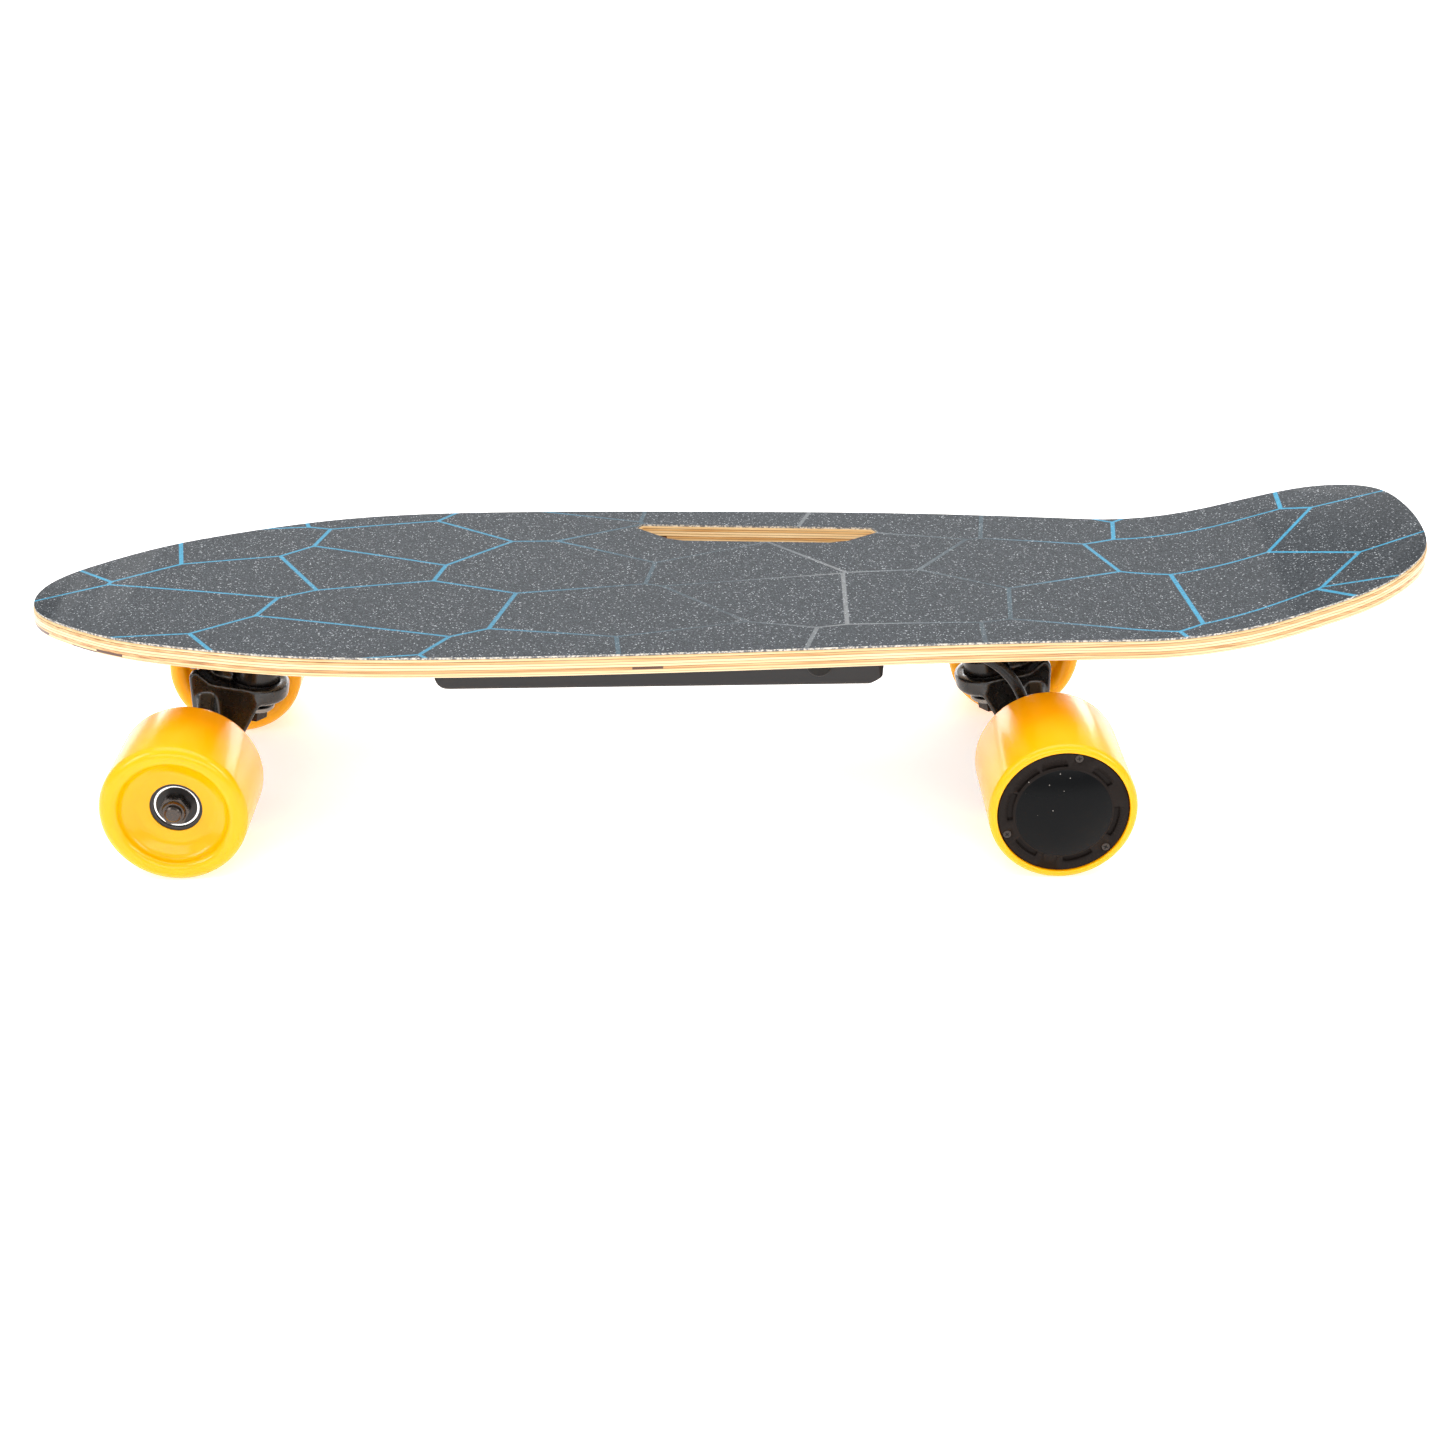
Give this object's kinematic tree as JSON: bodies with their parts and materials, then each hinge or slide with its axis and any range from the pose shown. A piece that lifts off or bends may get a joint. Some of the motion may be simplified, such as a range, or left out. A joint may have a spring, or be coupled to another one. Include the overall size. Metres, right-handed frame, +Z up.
{
  "type": "electric skateboard",
  "caption": "Electric skateboard: kicktail deck with a handle slot, battery enclosure beneath, sprung steering trucks and one hub motor wheel.",
  "frame": {"origin": "on the ground under the middle of the deck's length and width", "axes": "+X towards the kicktail, +Y towards the side with the handle slot, +Z up; the wheels rest on Z = 0"},
  "size_m": [0.685, 0.23, 0.1384],
  "materials": {
    "maple": "satin lacquer over seven plies",
    "grip_tape": "coarse sparkling grit",
    "brass": "machined",
    "enclosure_plastic": "satin moulded",
    "foam_rubber": "closed-cell foam",
    "black_steel": "black oxide",
    "cell_wrap": "shrink wrap",
    "holder_plastic": "moulded",
    "circuit_board": "solder mask",
    "aluminium": "extruded",
    "black_plastic": "satin moulded",
    "black_rubber": "matte",
    "black_paint": "satin powder coat on a casting",
    "black_urethane": "semi-gloss",
    "zinc_steel": "zinc plated",
    "silicon_steel": "stacked laminations",
    "copper": "enamelled copper wire",
    "nickel": "nickel plated",
    "black_aluminium": "black anodised aluminium",
    "bearing_steel": "polished",
    "yellow_urethane": "glossy poured urethane"
  },
  "bodies": {
    "board": {"deck": "maple", "grip_tape": "grip_tape", "threaded_inserts": "brass", "enclosure_tray": "enclosure_plastic", "enclosure_gasket": "foam_rubber", "enclosure_screws": "black_steel", "battery_cells": "cell_wrap", "battery_holder": "holder_plastic", "battery_management_board": "circuit_board", "motor_controller": "aluminium", "charge_socket": "black_plastic", "charge_cap": "black_rubber", "power_switch": "black_plastic", "cable_gland": "black_plastic", "motor_cable": "black_rubber", "front_riser_pad": "black_rubber", "rear_riser_pad": "black_rubber", "front_baseplate": "black_paint", "rear_baseplate": "black_paint", "front_pivot_cup": "black_urethane", "rear_pivot_cup": "black_urethane", "kingpins": "zinc_steel", "front_top_bushing": "black_urethane", "rear_top_bushing": "black_urethane", "front_bottom_bushing": "black_urethane", "rear_bottom_bushing": "black_urethane", "kingpin_washers": "zinc_steel", "kingpin_nuts": "zinc_steel", "truck_screws": "black_steel"},
    "switch_button": {"power_button": "black_rubber"},
    "front_truck": {"front_hanger": "black_paint", "front_axle": "zinc_steel", "front_axle_nuts": "zinc_steel", "front_axle_washers": "zinc_steel"},
    "rear_truck": {"rear_hanger": "black_paint", "rear_axle": "zinc_steel", "rear_axle_nut": "zinc_steel", "rear_axle_washers": "zinc_steel", "motor_shaft": "zinc_steel", "motor_stator": "silicon_steel", "motor_windings": "copper"},
    "front_left_wheel": {"front_left_tyre": "yellow_urethane", "front_left_core": "black_plastic", "front_left_bearings": "bearing_steel", "front_left_spacer": "zinc_steel"},
    "front_right_wheel": {"front_right_tyre": "yellow_urethane", "front_right_core": "black_plastic", "front_right_bearings": "bearing_steel", "front_right_spacer": "zinc_steel"},
    "rear_right_wheel": {"rear_right_tyre": "yellow_urethane", "rear_right_core": "black_plastic", "rear_right_bearings": "bearing_steel", "rear_right_spacer": "zinc_steel"},
    "motor_wheel": {"motor_tyre": "yellow_urethane", "motor_rotor": "black_steel", "motor_magnets": "nickel", "motor_inner_cap": "black_aluminium", "motor_cover": "black_plastic", "motor_cover_screws": "black_steel", "motor_bearings": "bearing_steel"}
  },
  "joints": [
    {"name": "front_steer", "type": "hinge", "parent": "board", "child": "front_truck", "pos_m": [-0.2385, 0, 0.054], "axis": [-0.7431, 0, 0.6691], "range_deg": [-12, 12], "stiffness_Nm_per_rad": 45, "deforming": ["front_top_bushing", "front_bottom_bushing"]},
    {"name": "rear_steer", "type": "hinge", "parent": "board", "child": "rear_truck", "pos_m": [0.1355, 0, 0.054], "axis": [0.7431, 0, 0.6691], "range_deg": [-12, 12], "stiffness_Nm_per_rad": 45, "deforming": ["rear_top_bushing", "rear_bottom_bushing", "motor_cable"]},
    {"name": "front_left_spin", "type": "hinge", "parent": "front_truck", "child": "front_left_wheel", "pos_m": [-0.2605, -0.0809, 0.035], "axis": [0, 1, 0], "continuous": true},
    {"name": "front_right_spin", "type": "hinge", "parent": "front_truck", "child": "front_right_wheel", "pos_m": [-0.2605, 0.0809, 0.035], "axis": [0, 1, 0], "continuous": true},
    {"name": "rear_right_spin", "type": "hinge", "parent": "rear_truck", "child": "rear_right_wheel", "pos_m": [0.1575, 0.0895, 0.035], "axis": [0, 1, 0], "continuous": true},
    {"name": "motor_wheel_spin", "type": "hinge", "parent": "rear_truck", "child": "motor_wheel", "pos_m": [0.1575, -0.08425, 0.035], "axis": [0, 1, 0], "continuous": true},
    {"name": "power_button_press", "type": "slide", "parent": "board", "child": "switch_button", "axis": [-1, 0, 0], "range_m": [0, 0.0015], "stiffness_N_per_m": 300}
  ]
}
